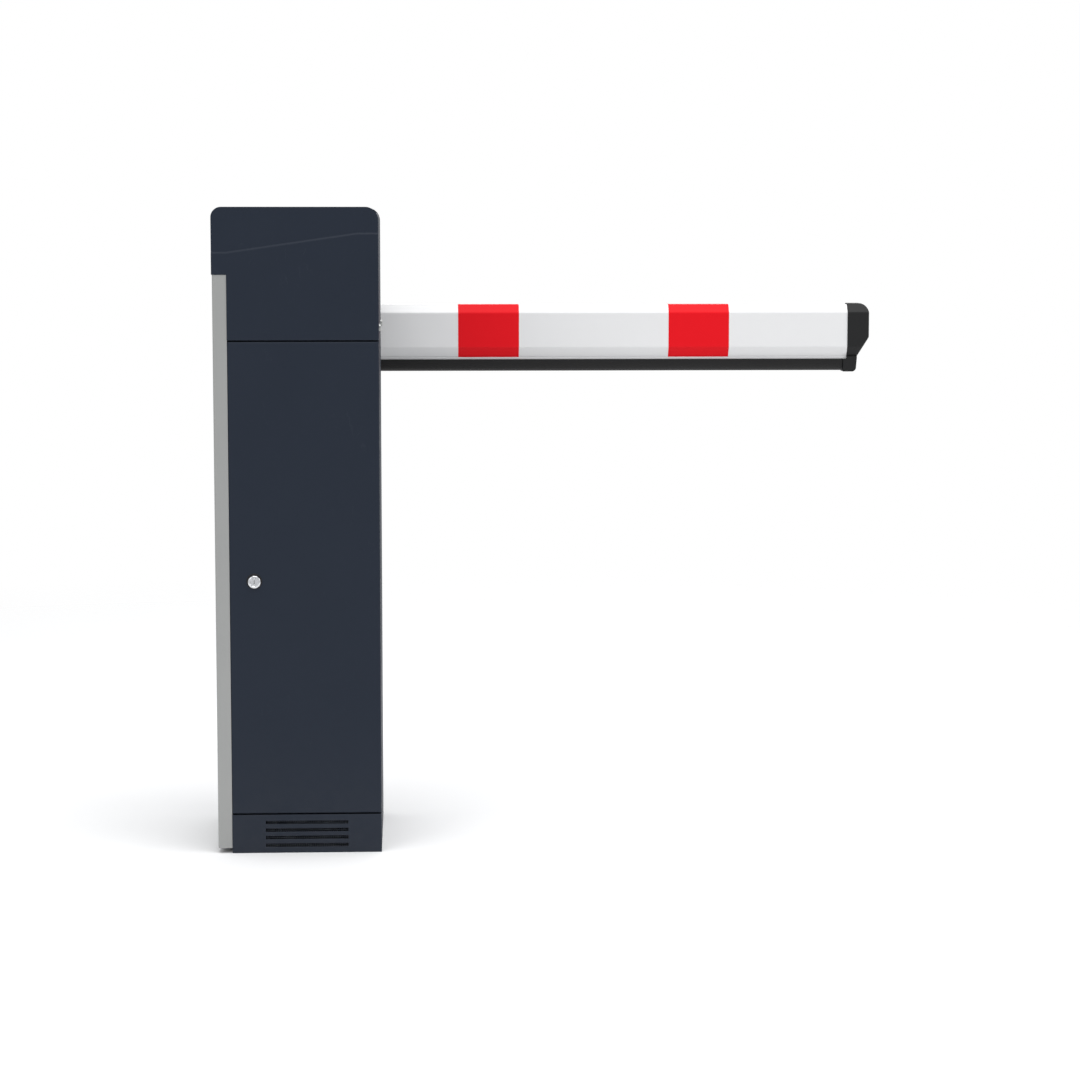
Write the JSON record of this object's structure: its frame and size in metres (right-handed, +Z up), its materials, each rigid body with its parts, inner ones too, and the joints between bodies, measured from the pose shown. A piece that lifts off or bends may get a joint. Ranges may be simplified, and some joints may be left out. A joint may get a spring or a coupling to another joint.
{
  "type": "parking barrier gate",
  "caption": "Vehicle barrier: a sheet metal cabinet with a hood and hinged door holds a worm drive and balance spring that swing a banded octagonal boom.",
  "frame": {"origin": "centre of the four anchor holes in the base plate, at floor level", "axes": "+X along the lowered boom, +Z up, the door faces -Y and the boom turns on the +Y side"},
  "size_m": [1.0615, 0.389, 1],
  "materials": {
    "body_paint": "fine textured powder coat",
    "silver_paint": "satin silver paint",
    "boom_white": "satin white powder coat",
    "band_red": "reflective film",
    "black_rubber": "matt",
    "black_plastic": "grained",
    "plain_steel": "turned and ground",
    "zinc_steel": "zinc plated",
    "lock_chrome": "polished",
    "cast_housing": "painted casting",
    "cast_aluminium": "as cast and machined",
    "wheel_bronze": "machined bronze",
    "grey_plastic": "light grey",
    "toggle_black": "smooth"
  },
  "bodies": {
    "cabinet": {"base_plate": "zinc_steel", "cabinet_shell": "body_paint", "cable_grommet": "black_rubber", "circuit_breaker": "grey_plastic", "controller_case": "grey_plastic", "controller_lid": "grey_plastic", "din_rail": "zinc_steel", "door_seal": "black_rubber", "equipment_panel": "zinc_steel", "frame_bolts": "zinc_steel", "front_bearing": "cast_housing", "front_bearing_plate": "zinc_steel", "gearbox_cover": "cast_aluminium", "gearbox_housing": "cast_aluminium", "hinge_frame_leaves": "zinc_steel", "hinge_pins": "plain_steel", "hood": "body_paint", "hood_brackets": "zinc_steel", "hood_screws": "zinc_steel", "limit_sensors": "black_plastic", "motor_housing": "cast_aluminium", "plinth_grille": "body_paint", "power_supply": "cast_aluminium", "rear_bearing": "cast_housing", "rear_bearing_plate": "zinc_steel", "side_trim": "silver_paint", "spring_anchor_bar": "zinc_steel", "spring_eyebolt": "zinc_steel", "stop_buffers": "black_rubber", "stop_studs": "zinc_steel", "tie_bars": "plain_steel"},
    "boom_arm": {"main_shaft": "plain_steel", "rocker_lever": "cast_housing", "rocker_pins": "plain_steel", "boom_hub": "cast_housing", "boom_saddle": "zinc_steel", "clamp_plate": "zinc_steel", "clamp_bolts": "zinc_steel", "boom_profile": "boom_white", "boom_inner_cap": "black_plastic", "boom_end_cap": "black_plastic", "rubber_strip": "black_rubber", "reflective_bands": "band_red", "balance_spring": "plain_steel"},
    "crank": {"output_shaft": "plain_steel", "worm_wheel": "wheel_bronze", "crank_arm": "cast_housing", "crank_pin": "plain_steel", "limit_disc": "plain_steel"},
    "rod": {"connecting_rod": "zinc_steel"},
    "worm": {"worm_shaft": "plain_steel", "motor_rotor": "plain_steel", "hand_wheel": "black_plastic"},
    "door": {"door_panel": "body_paint", "hinge_door_leaves": "zinc_steel", "lock_sleeve": "lock_chrome"},
    "lock": {"lock_barrel": "lock_chrome", "lock_cam": "zinc_steel"},
    "spring_top": {"spring_hook": "zinc_steel"},
    "toggle": {"breaker_toggle": "toggle_black"}
  },
  "joints": [
    {"name": "boom_swing", "type": "hinge", "parent": "cabinet", "child": "boom_arm", "pos_m": [0, 0.2, 0.797], "axis": [0, -1, 0], "range_deg": [0, 90], "deforming": ["balance_spring"]},
    {"name": "crank_turn", "type": "hinge", "parent": "cabinet", "child": "crank", "pos_m": [0, 0.036, 0.537], "axis": [0, -1, 0], "range_deg": [0, 90]},
    {"name": "rod_pivot", "type": "hinge", "parent": "crank", "child": "rod", "pos_m": [-0.0495, 0.02, 0.5865], "axis": [0, -1, 0], "range_deg": [-90, 0]},
    {"name": "worm_spin", "type": "hinge", "parent": "cabinet", "child": "worm", "pos_m": [0.052, -0.04, 0.537], "axis": [0, 0, -1], "range_deg": [0, 3600]},
    {"name": "spring_pivot", "type": "hinge", "parent": "boom_arm", "child": "spring_top", "pos_m": [-0.06, 0.082, 0.797], "axis": [0, -1, 0], "range_deg": [-97.9, 0]},
    {"name": "door_swing", "type": "hinge", "parent": "cabinet", "child": "door", "pos_m": [0.1085, -0.143, 0.43], "axis": [0, 0, 1], "range_deg": [0, 105]},
    {"name": "lock_turn", "type": "hinge", "parent": "door", "child": "lock", "pos_m": [-0.078, -0.14, 0.425], "axis": [0, -1, 0], "range_deg": [0, 90]},
    {"name": "breaker_toggle_turn", "type": "hinge", "parent": "cabinet", "child": "toggle", "pos_m": [-0.062, -0.018, 0.115], "axis": [1, 0, 0], "range_deg": [-20, 35]}
  ],
  "couplings": [
    {"joint": "crank_turn", "follows": "boom_swing", "ratio": 1},
    {"joint": "rod_pivot", "follows": "boom_swing", "ratio": -1},
    {"joint": "worm_spin", "follows": "boom_swing", "ratio": 40},
    {"joint": "spring_pivot", "follows": "boom_swing", "ratio": -1.0869}
  ]
}
